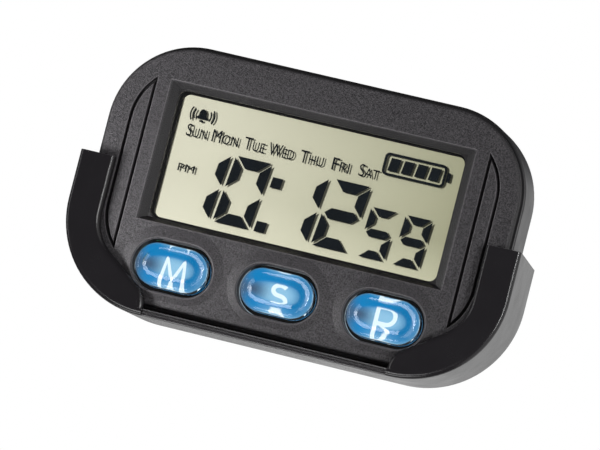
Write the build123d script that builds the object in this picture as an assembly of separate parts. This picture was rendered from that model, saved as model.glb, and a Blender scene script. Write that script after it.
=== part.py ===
from build123d import *
import math
import os

# A small stick-on digital clock. A flat module with an LCD and three buttons slides down into a cradle.
# Millimetres, +Z up, +X to the right seen from the front. The face looks along -Y. The origin is under the
# middle of the cradle. Depths in the module are counted from its face towards +Y.

# Layout of the face
window_width = 44.4
window_height = 20.0
side_margin = 8.0        # window to the side of the body
top_margin = 5.5         # window to the top of the body
hole_to_window = 2.05    # upper edge of the button holes to the window
bottom_margin = 2.6      # bottom of the body to the lower edge of the button holes
hole_length = 11.6
hole_height = 7.3
button_pitch = 15.35
body_corner = 12.0
body_depth = 11.2

# Front case
case_step = 0.5          # the front case stands in from the rear case all round
face_thick = 1.8
face_round = 0.5
bevel_side = 1.25
bevel_end = 0.775
bevel_depth = 1.1
opening_land = 0.1
opening_drop = 0.125     # middle of the opening under the middle of the window
opening_corner = 1.2
mound_rim = 0.3          # flat rim round each button hole, then the slope of its low mound
mound_slope = 1.2
mound_lift = 0.35        # the foot of the slope sits this much higher than the hole
mound_height = 0.4
hole_chamfer = 0.2
rib_offset = 1.9         # window to the straight side of a crescent rib
rib_width = 2.7
rib_length = 25.0
rib_end_radius = 8.5
rib_drop = 2.5           # middle of the ribs under the middle of the window
rib_groove = 0.25
rib_slope = 0.25
rib_depth = 0.5
tongue_gap = 0.1
tongue_thick = 0.6
tongue_length = 1.8

# Rear case
rear_wall = 1.4
rear_floor = 1.4
rim_round = 0.35
back_round = 1.5
support_radius = 1.5     # posts that back the board behind the buttons

# Screw bosses and screws
boss_offset = 2.8        # window edge to the line of bosses
boss_spread = 22.2
boss_radius = 2.0
boss_length = 4.2        # front half of a boss, behind the face plate
post_radius = 1.7        # posts that carry the board
shank_radius = 0.8
shank_gap = 0.15
thread_gap = 0.05
thread_bite = 2.2
pilot_spare = 0.3
head_radius = 1.6
head_thick = 0.9
head_gap = 0.3
head_sink = 1.2
drive_width = 0.4
drive_depth = 0.35

# Lens and LCD
lens_margin = 1.3
lens_thick = 1.0
lens_gap = 0.15
lens_frame = 0.8
mask_thick = 0.8
mask_lap = 0.25          # edge of the opening to the edge of the mask behind it
mask_corner = 1.1
polarizer_thick = 0.15
polarizer_inset = 0.3
glass_margin = 1.0
glass_thick = 0.7
glass_ledge = 2.0        # strip of the front glass below the rear glass, for its contacts
cell_gap = 0.1
seal_width = 0.8
reflector_thick = 0.2
holder_gap = 0.15
holder_wall = 0.8
zebra_gap = 0.15
zebra_end = 2.5
foam_height = 2.0
foam_inset = 0.5
foam_near = 8.0
foam_far = 20.0

# Digits of the display
tall_width = 5.4
tall_height = 9.7
tall_stroke = 1.55
tall_upright = 1.35
small_width = 3.95
small_height = 7.1
small_stroke = 1.15
small_upright = 1.05
segment_gap = 0.28
tall_slant_share = 0.106
small_slant_share = 0.055
baseline_drop = 7.72     # foot of the digits under the middle of the window
hour_tens_left = -18.55
hour_ones_left = -12.5
colon_left = -6.45
colon_width = 1.5
colon_height = 1.5
colon_rise = 6.45
minute_tens_left = -4.2
minute_ones_left = 1.9
second_tens_left = 8.6
second_ones_left = 13.6
lit_bars = {
    "0": "abcdef",
    "1": "bc",
    "2": "abged",
    "5": "afgcd",
    "9": "abcdfg",
}

# Board and what is on it
lcd_to_board = 1.85
board_thick = 0.8
board_gap = 0.4
boss_clear = 0.4
blob_radius = 4.5
blob_height = 1.1
blob_round = 0.9
blob_right = 15.5
blob_below = 1.9         # under the middle of the battery cap, as the buzzer is
crystal_radius = 0.6
crystal_length = 4.6
crystal_below = 9.0      # under the blob
chip_length = 2.0
chip_width = 1.25
chip_height = 0.8
chip_count = 4
chip_pitch = 3.2
chip_row_right = -13.0

# Keypad and buttons
web_thick = 0.8
web_height = 6.6
web_end = 7.0
dome_length = 8.0
dome_width = 5.2
dome_roof = 0.8
stem_length = 6.6
stem_width = 3.4
cavity_length = 5.2
cavity_width = 2.6
pill_radius = 1.1
pill_thick = 0.5
pill_spare = 0.2         # pill to the board with a button fully in
cap_gap = 0.6
cap_proud = 1.65
cap_crown = 40.0         # radius of the ball that the top of a cap is cut from
cap_shoulder = 1.1
dish_length = 9.0        # finger dish of a cap, at the level of the crown's highest point
dish_width = 4.2
dish_depth = 0.3
dish_reach = 0.55        # how deep its sides go, at the ends of the dish
dish_flare_share = 2.4   # how much its sides lean out for each millimetre of depth
flange_rim = 0.5
flange_thick = 0.8
flange_clear = 0.2
button_travel = 0.7

# Button cell, its contacts and its cap
cell_radius = 5.8
cell_thick = 3.05
cell_step = 0.35
cell_step_inset = 1.1
cell_clear = 0.2
contact_thick = 0.2
contact_width = 3.0
contact_gap = 0.3        # reflector to the contact under the cell
contact_past = 3.0       # how far it reaches past the middle of the cell
contact_side = 0.8       # cell to the riser of the negative contact
contact_foot = 3.0
contact_touch = 0.05
lid_drop = 10.2          # top of the body to the middle of the cap
lid_radius = 8.0
lid_flange = 0.7
lid_gap = 0.15
lid_boss_radius = 6.9
lid_boss_gap = 0.1
lug_reach = 0.9
lug_width = 4.0
lug_thick = 0.7
lug_gap = 0.1
lid_turn = 35.0
coin_length = 11.0
coin_width = 1.6
coin_depth = 0.4

# Buzzer
buzzer_radius = 6.5
buzzer_thick = 0.2
ceramic_radius = 4.5
ceramic_thick = 0.2
buzzer_left = 15.5
leaf_width = 2.0
leaf_foot = 2.5
leaf_reach = 3.0

# Cradle
cradle_wall = 1.45
cradle_floor = 1.0
cradle_plate = 1.6
plate_round = 0.6
fit_gap = 0.3
lip_thick = 1.2
lip_gap = 0.45           # lips to the face of the module
lip_reach = 5.05         # outer side to the inner edge of a lip
lip_knee = 9.4           # height where a lip's inner edge turns in
lip_knee_radius = 6.5
lip_toe = 3.0            # height where it turns down again
lip_toe_share = 0.9      # of the largest round that fits there
lip_edge_round = 0.8
lip_round = 0.7
arm_top = 20.7
arm_fall = 0.9           # the arms' tops slope down this much to the back
ledge_length = 35.4
ledge_setback = 0.25
ledge_lean = 0.35        # the foot of the ledge lies this much further back than its top
ledge_groove = 0.3
ledge_groove_depth = 0.2
ledge_lines = 2
seat_height = 0.25       # the module stands this far above the floor, on two seats
seat_width = 6.0
seat_spread = 20.0
seat_margin = 2.5
pad_width = 44.0
pad_height = 13.0
pad_thick = 1.3
pad_sink = 0.3
pad_corner = 2.0
overrun = 1.0

# Body and heights
body_width = window_width + 2 * side_margin
body_height = bottom_margin + hole_height + hole_to_window + window_height + top_margin
body_bottom = cradle_floor + seat_height
body_top = body_bottom + body_height
body_middle = body_bottom + body_height / 2
button_level = body_bottom + bottom_margin + hole_height / 2
window_level = body_top - top_margin - window_height / 2
opening_level = window_level - opening_drop
rib_level = window_level - rib_drop
lid_level = body_top - lid_drop
blob_level = lid_level - blob_below
crystal_level = blob_level - crystal_below
boss_side = window_width / 2 + boss_offset
boss_levels = (body_middle - boss_spread / 2, body_middle + boss_spread / 2)
button_places = (-button_pitch, 0, button_pitch)

# Depths from front to back, with zero half way through the whole object
whole_depth = lip_thick + lip_gap + body_depth + fit_gap + cradle_plate + pad_thick - pad_sink
lip_front = -whole_depth / 2
lip_back = lip_front + lip_thick
face = lip_back + lip_gap
plate_back = face + face_thick
lens_back = plate_back + lens_thick
mask_back = lens_back + mask_thick
glass_front = mask_back + polarizer_thick
cell_front = glass_front + glass_thick
cell_back = cell_front + cell_gap
glass_back = cell_back + glass_thick
reflector_back = glass_back + reflector_thick
board_front = reflector_back + lcd_to_board
board_back = board_front + board_thick
body_back = face + body_depth
floor_inside = body_back - rear_floor
boss_join = plate_back + boss_length
cap_back = plate_back + flange_thick
dome_front = board_front - pill_spare - button_travel - pill_thick - dome_roof
battery_front = reflector_back + contact_gap + contact_thick
battery_back = battery_front + cell_thick
lid_seat = body_back - lid_flange
wall_back = body_back + fit_gap
cradle_back = wall_back + cradle_plate
head_seat = body_back - head_sink

# Sizes that follow from the window
opening_width = window_width - 2 * (bevel_side + opening_land)
opening_height = window_height - 2 * (bevel_end + opening_land)
glass_width = opening_width + 2 * glass_margin
glass_height = opening_height + 2 * glass_margin
lens_width = opening_width + 2 * lens_margin
lens_height = opening_height + 2 * lens_margin
glass_bottom = window_level - glass_height / 2
cradle_half = body_width / 2 + fit_gap + cradle_wall
cap_length = hole_length - 2 * cap_gap
cap_height = hole_height - 2 * cap_gap


def slab(outline, front, back):
    """A solid between two depths, from a flat outline drawn in x and z."""
    plane = Plane((0, back, 0), x_dir=(1, 0, 0), z_dir=(0, -1, 0))
    return extrude(plane * outline, back - front, dir=(0, -1, 0))


def taper(outline_front, outline_back, front, back):
    """A solid that changes straight from one outline to another between two depths."""
    planes = [Plane((0, y, 0), x_dir=(1, 0, 0), z_dir=(0, -1, 0)) for y in (front, back)]
    return loft([planes[0] * outline_front, planes[1] * outline_back], ruled=True)


def disc(x, z, radius, front, back):
    return slab(Pos(x, z) * Circle(radius), front, back)


def block(left, right, bottom, top, front, back):
    middle = Pos((left + right) / 2, (bottom + top) / 2)
    return slab(middle * Rectangle(right - left, top - bottom), front, back)


def body_outline(inset):
    width = body_width - 2 * inset
    height = body_height - 2 * inset
    return Pos(0, body_middle) * RectangleRounded(width, height, body_corner - inset)


def window_frame(width, height):
    return Pos(0, window_level) * Rectangle(width, height)


def button_slot(x, margin):
    """The outline of a button hole, grown by a margin."""
    return Pos(x, button_level) * SlotOverall(hole_length + 2 * margin, hole_height + 2 * margin)


def boss_places():
    return [(side * boss_side, level) for side in (-1, 1) for level in boss_levels]


def post_places():
    return [(side * boss_side, body_middle) for side in (-1, 1)]


def crescent(side, inset):
    """A rib's outline: straight towards the window, round at both ends on its outer side."""
    near = window_width / 2 + rib_offset + inset
    far = window_width / 2 + rib_offset + rib_width - inset
    radius = rib_end_radius - inset
    full_drop = math.sqrt(rib_end_radius ** 2 - (rib_end_radius - rib_width) ** 2)
    half = rib_length / 2 - full_drop
    turn = math.acos((radius - (far - near)) / radius)
    drop = radius * math.sin(turn)
    center = far - radius
    edges = [
        Line((near, -half - drop), (near, half + drop)),
        CenterArc((center, half), radius, 0, math.degrees(turn)),
        Line((far, half), (far, -half)),
        CenterArc((center, -half), radius, 0, -math.degrees(turn)),
    ]
    outline = Pos(0, rib_level) * make_face(edges)
    return outline if side > 0 else mirror(outline, Plane.YZ)


def front_edges(solid):
    return solid.faces().sort_by(Axis.Y)[0].edges()


def back_edges(solid):
    return solid.faces().sort_by(Axis.Y)[-1].edges()


def front_case():
    case = slab(body_outline(case_step), face, plate_back)
    case = fillet(front_edges(case), face_round)
    for x in button_places:
        mound_top = face - mound_height
        foot = Pos(0, mound_lift) * button_slot(x, mound_rim + mound_slope)
        case += taper(button_slot(x, mound_rim), foot, mound_top, face)
        case -= slab(button_slot(x, 0), mound_top - overrun, plate_back + overrun)
        case -= taper(button_slot(x, hole_chamfer), button_slot(x, 0), mound_top, mound_top + hole_chamfer)
    for side in (-1, 1):
        rib_floor = face + rib_depth
        case -= slab(crescent(side, 0), face - overrun, rib_floor)
        case += taper(crescent(side, rib_groove + rib_slope), crescent(side, rib_groove), face, rib_floor)
    outer = window_frame(window_width, window_height)
    inner = Rectangle(window_width - 2 * bevel_side, window_height - 2 * bevel_end)
    case -= taper(outer, Pos(0, opening_level) * inner, face, face + bevel_depth)
    opening = Pos(0, opening_level) * RectangleRounded(opening_width, opening_height, opening_corner)
    case -= slab(opening, face, plate_back + overrun)

    outer_inset = rear_wall + tongue_gap
    tongue = body_outline(outer_inset) - body_outline(outer_inset + tongue_thick)
    case += slab(tongue, plate_back, plate_back + tongue_length)
    pocket = window_frame(lens_width + 2 * lens_gap, lens_height + 2 * lens_gap)
    frame_growth = 2 * (lens_gap + lens_frame)
    rim = window_frame(lens_width + frame_growth, lens_height + frame_growth)
    case += slab(rim - pocket, plate_back, lens_back)
    for x, z in boss_places():
        case += disc(x, z, boss_radius, plate_back, boss_join)
        pilot_front = boss_join - thread_bite - pilot_spare
        case -= disc(x, z, shank_radius + thread_gap, pilot_front, boss_join + overrun)
    for x, z in post_places():
        case += disc(x, z, post_radius, plate_back, board_front)
        pilot_front = board_front - thread_bite - pilot_spare
        case -= disc(x, z, shank_radius + thread_gap, pilot_front, board_front + overrun)
    for x in button_places:
        flange_room = button_slot(x, flange_rim + flange_clear)
        case -= slab(flange_room, plate_back, plate_back + tongue_length + overrun)
    return case


def rear_case():
    case = slab(body_outline(0), plate_back, body_back)
    case = fillet(front_edges(case), rim_round)
    case = fillet(back_edges(case), back_round)
    case -= slab(body_outline(rear_wall), plate_back - overrun, floor_inside)
    for x, z in boss_places():
        case += disc(x, z, boss_radius, boss_join, floor_inside)
        case -= disc(x, z, shank_radius + shank_gap, boss_join - overrun, body_back + overrun)
        case -= disc(x, z, head_radius + head_gap, head_seat, body_back + overrun)
    for x in button_places:
        case += disc(x, button_level, support_radius, board_back, floor_inside)
    case -= disc(0, lid_level, lid_radius + lid_gap, lid_seat, body_back + overrun)
    case -= disc(0, lid_level, lid_boss_radius + lid_boss_gap, floor_inside - overrun, body_back + overrun)
    notch = Rotation(0, 0, -lid_turn) * lug_outline(lid_boss_gap)
    case -= slab(Pos(0, lid_level) * notch, floor_inside - overrun, lid_seat + overrun)
    return case


def screws(places, seat, tip, head):
    """Pan-head screws with a cross recess, driven from the back."""
    solids = []
    for x, z in places:
        screw = disc(x, z, shank_radius, tip, seat) + disc(x, z, head_radius, seat, seat + head)
        reach = head_radius - drive_width
        recess_front = seat + head - drive_depth
        for wide, tall in ((reach, drive_width / 2), (drive_width / 2, reach)):
            screw -= block(x - wide, x + wide, z - tall, z + tall, recess_front, seat + head)
        solids.append(screw)
    return solids


def case_screws():
    return screws(boss_places(), head_seat, boss_join - thread_bite, head_thick)


def pcb_screws():
    return screws(post_places(), board_back, board_front - thread_bite, head_thick)


def display_lens():
    return slab(window_frame(lens_width, lens_height), plate_back, lens_back)


def lcd_film(front, back):
    width = glass_width - 2 * polarizer_inset
    height = glass_height - 2 * polarizer_inset
    return slab(window_frame(width, height), front, back)


def lcd_front_polarizer():
    return lcd_film(mask_back, glass_front)


def lcd_front_glass():
    top = glass_bottom + glass_height
    return block(-glass_width / 2, glass_width / 2, glass_bottom - glass_ledge, top, glass_front, cell_front)


def lcd_cell_seal():
    outer = window_frame(glass_width, glass_height)
    inner = window_frame(glass_width - 2 * seal_width, glass_height - 2 * seal_width)
    return slab(outer - inner, cell_front, cell_back)


def bar_outlines(width, height, stroke, upright_stroke):
    """The corner points of a digit's seven bars, by their usual letters, from its lower left corner."""
    half = height / 2
    thin = stroke / 2
    gap = segment_gap
    flat = [(gap, 0), (width - gap, 0), (width - gap - stroke, stroke), (gap + stroke, stroke)]
    upright = [
        (0, gap), (0, half - gap),
        (upright_stroke, half - gap - upright_stroke), (upright_stroke, gap + upright_stroke),
    ]
    middle = [
        (gap, half), (gap + thin, half + thin), (width - gap - thin, half + thin),
        (width - gap, half), (width - gap - thin, half - thin), (gap + thin, half - thin),
    ]
    return {
        "a": [(x, height - z) for x, z in flat],
        "b": [(width - x, height - z) for x, z in upright],
        "c": [(width - x, z) for x, z in upright],
        "d": flat,
        "e": upright,
        "f": [(x, height - z) for x, z in upright],
        "g": middle,
    }


def leaning_bar(points, left, slant_share):
    """One bar of a digit, leaned over and put in its place on the display."""
    baseline = window_level - baseline_drop
    corners = [(left + x + z * slant_share, baseline + z) for x, z in points]
    return slab(Polygon(*corners, align=None), cell_front, cell_back)


def digit(figure, left, width, height, strokes, slant_share):
    outlines = bar_outlines(width, height, *strokes)
    return [leaning_bar(outlines[bar], left, slant_share) for bar in lit_bars[figure]]


def lcd_segments():
    bars = []
    tall_places = (
        ("1", hour_tens_left), ("0", hour_ones_left), ("1", minute_tens_left), ("2", minute_ones_left),
    )
    tall_strokes = (tall_stroke, tall_upright)
    small_strokes = (small_stroke, small_upright)
    for figure, left in tall_places:
        bars += digit(figure, left, tall_width, tall_height, tall_strokes, tall_slant_share)
    for figure, left in (("5", second_tens_left), ("9", second_ones_left)):
        bars += digit(figure, left, small_width, small_height, small_strokes, small_slant_share)
    for rise in (0, colon_rise):
        dot = [(0, rise), (colon_width, rise), (colon_width, rise + colon_height), (0, rise + colon_height)]
        bars.append(leaning_bar(dot, colon_left, tall_slant_share))
    return bars


def lcd_rear_glass():
    return slab(window_frame(glass_width, glass_height), cell_back, glass_back)


def lcd_reflector():
    return lcd_film(glass_back, reflector_back)


def lcd_holder():
    """A frame round the glass, with a mask in front of its edge and side walls that stand on the board."""
    growth = 2 * (holder_gap + holder_wall)
    half = (glass_width + growth) / 2
    top = glass_bottom + glass_height + growth / 2
    bottom = glass_bottom - glass_ledge - growth / 2
    hole_size = (opening_width - 2 * mask_lap, opening_height - 2 * mask_lap)
    mask_hole = Pos(0, opening_level) * RectangleRounded(*hole_size, mask_corner)
    holder = slab(window_frame(2 * half, glass_height + growth) - mask_hole, lens_back, mask_back)
    holder += block(-half, half, bottom, top, mask_back, reflector_back + contact_gap / 2)
    inner = half - holder_wall
    room_bottom = bottom + holder_wall
    holder -= block(-inner, inner, room_bottom, top - holder_wall, mask_back, board_front)
    for side in (-1, 1):
        left, right = sorted((side * inner, side * half))
        holder += block(left, right, bottom, top, mask_back, board_front)
    return holder


def zebra_strip():
    half = glass_width / 2 - zebra_end
    bottom = glass_bottom - glass_ledge + zebra_gap
    return block(-half, half, bottom, glass_bottom - zebra_gap, cell_front, board_front)


def lcd_foam_strips():
    top = glass_bottom + glass_height - polarizer_inset - foam_inset
    low = top - foam_height
    return [
        block(left, right, low, top, reflector_back, board_front)
        for left, right in ((-foam_far, -foam_near), (foam_near, foam_far))
    ]


def main_pcb():
    board = slab(body_outline(rear_wall + board_gap), board_front, board_back)
    for x, z in boss_places():
        board -= disc(x, z, boss_radius + boss_clear, board_front - overrun, board_back + overrun)
    for x, z in post_places():
        board -= disc(x, z, shank_radius + shank_gap, board_front - overrun, board_back + overrun)
    board -= disc(0, lid_level, cell_radius + cell_clear, board_front - overrun, board_back + overrun)
    return board


def controller_blob():
    blob = disc(blob_right, blob_level, blob_radius, board_back, board_back + blob_height)
    return fillet(back_edges(blob), blob_round)


def quartz_crystal():
    rod = Cylinder(crystal_radius, crystal_length, rotation=(0, 90, 0))
    return Pos(blob_right, board_back + crystal_radius, crystal_level) * rod


def chip_capacitors():
    chips = []
    for index in range(chip_count):
        x = chip_row_right + (index - (chip_count - 1) / 2) * chip_pitch
        low, high = crystal_level - chip_length / 2, crystal_level + chip_length / 2
        left, right = x - chip_width / 2, x + chip_width / 2
        chips.append(block(left, right, low, high, board_back, board_back + chip_height))
    return chips


def rubber_keypad():
    """One silicone strip: a web on the board, a hollow dome for each button and a stem up to its cap."""
    web_length = 2 * (button_pitch + web_end)
    outline = Pos(0, button_level) * SlotOverall(web_length, web_height)
    keypad = slab(outline, board_front - web_thick, board_front)
    for x in button_places:
        place = Pos(x, button_level)
        stem = place * SlotOverall(stem_length, stem_width)
        keypad += slab(stem, cap_back, dome_front)
        base = place * SlotOverall(dome_length, dome_width)
        keypad += taper(stem, base, dome_front, board_front - web_thick)
        hollow = place * SlotOverall(cavity_length, cavity_width)
        keypad -= slab(hollow, dome_front + dome_roof, board_front + overrun)
    return keypad


def contact_pills():
    pill_front = dome_front + dome_roof
    return [disc(x, button_level, pill_radius, pill_front, pill_front + pill_thick) for x in button_places]


def dish_outline(x, depth):
    """The finger dish at a depth under the crown: it narrows towards its floor."""
    inset = 2 * dish_flare_share * depth
    return Pos(x, button_level) * SlotOverall(dish_length - inset, dish_width - inset)


def button(x):
    """A clear cap with a crowned, dished front and round shoulders, held by a flange behind the face plate."""
    outline = Pos(x, button_level) * SlotOverall(cap_length, cap_height)
    crown_front = face - cap_proud
    crown_middle = Pos(x, crown_front + cap_crown, button_level)
    cap = slab(outline, crown_front, cap_back) & crown_middle * Sphere(cap_crown)
    cap = fillet(front_edges(cap), cap_shoulder)
    mouth, foot = dish_outline(x, -overrun), dish_outline(x, dish_reach)
    dish = taper(mouth, foot, crown_front - overrun, crown_front + dish_reach)
    cap -= dish - crown_middle * Sphere(cap_crown - dish_depth)
    return cap + slab(button_slot(x, flange_rim), plate_back, cap_back)


def battery_cell():
    can = disc(0, lid_level, cell_radius, battery_front + cell_step, battery_back)
    return can + disc(0, lid_level, cell_radius - cell_step_inset, battery_front, battery_back)


def battery_contact_negative():
    """A strip that passes under the cell and comes up to the front of the board beside it."""
    low, high = lid_level - contact_width / 2, lid_level + contact_width / 2
    riser = -cell_radius - contact_side
    strip_front = battery_front - contact_thick
    strip = block(riser, contact_past, low, high, strip_front, battery_front)
    strip += block(riser, riser + contact_thick, low, high, strip_front, board_front)
    foot_front = board_front - contact_thick
    return strip + block(riser - contact_foot, riser + contact_thick, low, high, foot_front, board_front)


def battery_contact_positive():
    """An angle on the back of the board whose upright leans on the rim of the cell."""
    low, high = lid_level - contact_width / 2, lid_level + contact_width / 2
    near = cell_radius + contact_touch
    tip = battery_back - lug_gap
    angle = block(near, near + contact_thick, low, high, board_back, tip)
    return angle + block(near, near + contact_foot, low, high, board_back, board_back + contact_thick)


def lug_outline(gap):
    """The cap's two lugs, opposite each other, with room for a gap round them."""
    reach = lid_boss_radius + lug_reach + gap
    return Circle(reach) & Rectangle(2 * reach, lug_width + 2 * gap)


def battery_cap():
    cap = disc(0, lid_level, lid_radius, lid_seat, body_back)
    cap += disc(0, lid_level, lid_boss_radius, battery_back, lid_seat)
    lug_back = floor_inside - lug_gap
    cap += slab(Pos(0, lid_level) * lug_outline(0), lug_back - lug_thick, lug_back)
    slot = Pos(0, lid_level) * SlotOverall(coin_length, coin_width)
    return cap - slab(slot, body_back - coin_depth, body_back + overrun)


def buzzer_plate():
    return disc(-buzzer_left, blob_level, buzzer_radius, floor_inside - buzzer_thick, floor_inside)


def buzzer_ceramic():
    ceramic_back = floor_inside - buzzer_thick
    return disc(-buzzer_left, blob_level, ceramic_radius, ceramic_back - ceramic_thick, ceramic_back)


def buzzer_contact():
    """A leaf from the back of the board to the ceramic."""
    low, high = blob_level - leaf_width / 2, blob_level + leaf_width / 2
    riser = -buzzer_left
    tip = floor_inside - buzzer_thick - ceramic_thick
    leaf = block(riser - leaf_foot, riser + contact_thick, low, high, board_back, board_back + contact_thick)
    leaf += block(riser, riser + contact_thick, low, high, board_back, tip)
    return leaf + block(riser, riser + leaf_reach, low, high, tip - contact_thick, tip)


def cross_bar(half, *corners):
    """A straight bar along X from -half to half, from its corners in y and z."""
    outline = make_face(Polyline(*corners, close=True))
    return extrude(Plane((-half, 0, 0), x_dir=(0, 1, 0), z_dir=(1, 0, 0)) * outline, 2 * half)


def lip_edge(side):
    """The inner edge of a lip, from the ledge up past the top of the arm."""
    inner = cradle_half - lip_reach
    toe = ledge_length / 2
    lean = math.atan2(inner - toe, lip_knee - lip_toe)
    toe_radius = lip_toe_share * (lip_toe - cradle_floor) / math.tan(lean / 2)
    points = [(toe, cradle_floor), (toe, lip_toe), (inner, lip_knee), (inner, arm_top + overrun)]
    path = [(side * x, z) for x, z in points]
    return FilletPolyline(*path, radius=(toe_radius, lip_knee_radius))


def cradle():
    """A tray open at the top, with a lip in front of each lower corner and a low ledge between the lips."""
    corner = body_corner + fit_gap + cradle_wall
    tall = arm_top + 2 * corner
    tray = slab(Pos(0, tall / 2) * RectangleRounded(2 * cradle_half, tall, corner), lip_front, cradle_back)
    tray = fillet(front_edges(tray), lip_round)
    tray = fillet(back_edges(tray), plate_round)
    room = RectangleRounded(body_width + 2 * fit_gap, tall, body_corner + fit_gap)
    tray -= slab(Pos(0, cradle_floor + tall / 2) * room, lip_back, wall_back)
    right, left = lip_edge(1), lip_edge(-1)
    gap_outline = make_face([right, left, Line(left @ 0, right @ 0), Line(left @ 1, right @ 1)])
    tray -= slab(gap_outline, lip_front - overrun, lip_back)

    edge_line = [Plane((0, lip_front, 0), x_dir=(1, 0, 0), z_dir=(0, -1, 0)) * edge for edge in (right, left)]
    lip_edges = [
        edge for edge in front_edges(tray)
        if min(line.distance_to(edge @ 0.5) for line in edge_line) < lip_edge_round / 2
    ]
    tray = fillet(lip_edges, lip_edge_round)

    tray -= cross_bar(
        cradle_half + overrun, (lip_front - overrun, arm_top), (lip_front, arm_top),
        (cradle_back, arm_top - arm_fall), (cradle_back + overrun, arm_top - arm_fall),
        (cradle_back + overrun, tall + overrun), (lip_front - overrun, tall + overrun),
    )

    half = ledge_length / 2
    ledge_front = lip_front + ledge_setback
    tray -= cross_bar(
        half, (lip_front - overrun, cradle_floor), (ledge_front, cradle_floor), (ledge_front + ledge_lean, 0),
        (ledge_front + ledge_lean, -overrun), (lip_front - overrun, -overrun),
    )
    for index in range(ledge_lines):
        z = cradle_floor * (index + 1) / (ledge_lines + 1)
        front = ledge_front + ledge_lean * (1 - z / cradle_floor)
        mouth = ledge_groove / 2 * (ledge_groove_depth + overrun) / ledge_groove_depth
        tip = (front + ledge_groove_depth, z)
        tray -= cross_bar(half, tip, (front - overrun, z + mouth), (front - overrun, z - mouth))
    seat_front, seat_back = plate_back + seat_margin, body_back - seat_margin
    for side in (-1, 1):
        middle = side * seat_spread / 2
        left, right = middle - seat_width / 2, middle + seat_width / 2
        tray += block(left, right, cradle_floor, body_bottom, seat_front, seat_back)
    tray -= slab(pad_outline(), cradle_back - pad_sink, cradle_back + overrun)
    return tray


def pad_outline():
    return Pos(0, (arm_top - arm_fall) / 2) * RectangleRounded(pad_width, pad_height, pad_corner)


def adhesive_pad():
    pad_front = cradle_back - pad_sink
    return slab(pad_outline(), pad_front, pad_front + pad_thick)


pieces = {
    "cradle": cradle(),
    "adhesive_pad": adhesive_pad(),
    "front_case": front_case(),
    "rear_case": rear_case(),
    "case_screws": case_screws(),
    "display_lens": display_lens(),
    "lcd_front_polarizer": lcd_front_polarizer(),
    "lcd_front_glass": lcd_front_glass(),
    "lcd_cell_seal": lcd_cell_seal(),
    "lcd_segments": lcd_segments(),
    "lcd_rear_glass": lcd_rear_glass(),
    "lcd_reflector": lcd_reflector(),
    "lcd_holder": lcd_holder(),
    "zebra_strip": zebra_strip(),
    "lcd_foam_strips": lcd_foam_strips(),
    "main_pcb": main_pcb(),
    "pcb_screws": pcb_screws(),
    "controller_blob": controller_blob(),
    "quartz_crystal": quartz_crystal(),
    "chip_capacitors": chip_capacitors(),
    "rubber_keypad": rubber_keypad(),
    "contact_pills": contact_pills(),
    "mode_button": button(-button_pitch),
    "set_button": button(0),
    "reset_button": button(button_pitch),
    "battery_cell": battery_cell(),
    "battery_contact_negative": battery_contact_negative(),
    "battery_contact_positive": battery_contact_positive(),
    "battery_cap": battery_cap(),
    "buzzer_plate": buzzer_plate(),
    "buzzer_ceramic": buzzer_ceramic(),
    "buzzer_contact": buzzer_contact(),
}

os.makedirs("parts", exist_ok=True)
for name, shape in pieces.items():
    group = Compound(children=shape) if isinstance(shape, list) else shape
    export_step(group, f"parts/{name}.step")
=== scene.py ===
import math

import bmesh
import bpy
from mathutils import Matrix, Vector


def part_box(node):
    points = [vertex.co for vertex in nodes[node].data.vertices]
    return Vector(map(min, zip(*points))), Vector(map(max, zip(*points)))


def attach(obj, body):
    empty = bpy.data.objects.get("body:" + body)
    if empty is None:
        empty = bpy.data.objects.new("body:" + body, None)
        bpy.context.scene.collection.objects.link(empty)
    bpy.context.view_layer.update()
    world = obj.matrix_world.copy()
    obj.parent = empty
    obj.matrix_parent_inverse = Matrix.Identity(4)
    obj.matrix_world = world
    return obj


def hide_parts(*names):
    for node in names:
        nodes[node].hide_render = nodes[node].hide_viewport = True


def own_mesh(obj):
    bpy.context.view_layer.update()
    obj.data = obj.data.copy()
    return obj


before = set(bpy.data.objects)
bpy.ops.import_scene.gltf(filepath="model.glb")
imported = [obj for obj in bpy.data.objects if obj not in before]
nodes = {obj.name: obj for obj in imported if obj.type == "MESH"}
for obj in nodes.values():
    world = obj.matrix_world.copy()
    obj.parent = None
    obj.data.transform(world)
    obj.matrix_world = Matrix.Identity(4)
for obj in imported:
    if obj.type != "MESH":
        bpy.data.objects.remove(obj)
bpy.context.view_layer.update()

# Everything is in metres and in the frame of the CAD part. Sizes below are in millimetres times mm,
# and angles are in degrees.
mm = 0.001

# Camera, at the photograph's angle: below the object and to its right, turned about its own axis
camera_place = (0.14001, -0.63858, -0.03175)
camera_aim = (0.00071, -0.00623, 0.01746)
camera_roll = 14.335
camera_lens = 282.35
camera_sensor = 36.0

# Light: the world, the tent that gloss and clear plastic see, and the floor
world_level = 0.25
background_level = 1.0
tent_level = 0.05
tent_open_level = 0.72
tent_radius = 1.6
tent_detail = 5
tent_open_side = (0.6, 0.0, -0.8)
tent_open_from = -0.1
tent_back = 0.5
tent_right = 0.6
floor_radius = 0.5
floor_fade = (0.10, 0.42)
floor_sides = 96
floor_dark = (0.86, 0.86, 0.86)
floor_light = (0.90, 0.90, 0.90)
floor_roughness = 0.8

# Points that the lamps are aimed at
body_middle = (0.0, 0.0, 0.02)
face_middle = (0.0, 0.0, 0.015)
cap_row = (0.0, 0.0, 0.01)
cradle_foot = (0.0, 0.0, 0.0)

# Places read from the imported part, and the front case's thickness over the lens
face_thick = 1.8 * mm
window_low, window_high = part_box("lcd_reflector")
window_x = (window_low.x + window_high.x) / 2
window_z = (window_low.z + window_high.z) / 2
face_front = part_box("display_lens")[0].y - face_thick
cell_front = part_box("lcd_segments")[0].y
cell_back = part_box("lcd_segments")[1].y
board_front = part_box("main_pcb")[0].y
cap_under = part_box("set_button")[1].y

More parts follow.
